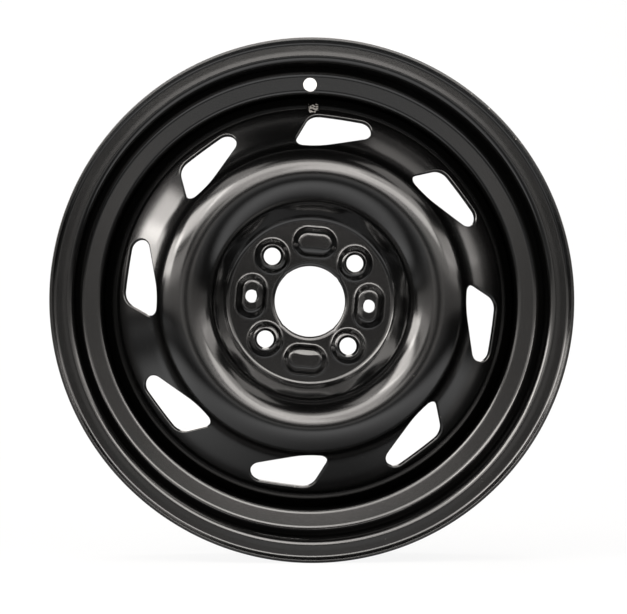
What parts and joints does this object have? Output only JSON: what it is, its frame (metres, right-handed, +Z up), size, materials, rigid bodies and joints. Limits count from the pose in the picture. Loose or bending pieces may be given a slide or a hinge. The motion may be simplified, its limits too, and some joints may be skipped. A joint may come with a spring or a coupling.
{
  "type": "steel wheel rim",
  "caption": "Pressed steel car wheel: rolled drop-centre rim with a valve hole, welded to a dished disc with slanted vents, raised bolt bosses and a hub bore.",
  "frame": {"origin": "the wheel's centre: on its axis, halfway between the two rim flanges", "axes": "+Y along the wheel's axis, towards the inboard side; the outboard face looks towards -Y; +Z up, through the valve hole"},
  "size_m": [0.4402, 0.1784, 0.44],
  "materials": {
    "black_paint": "satin-gloss black paint",
    "painted_weld": "satin black paint over weld beads"
  },
  "bodies": {
    "root": {"rim": "black_paint", "disc": "black_paint", "disc_welds": "painted_weld"}
  },
  "joints": []
}
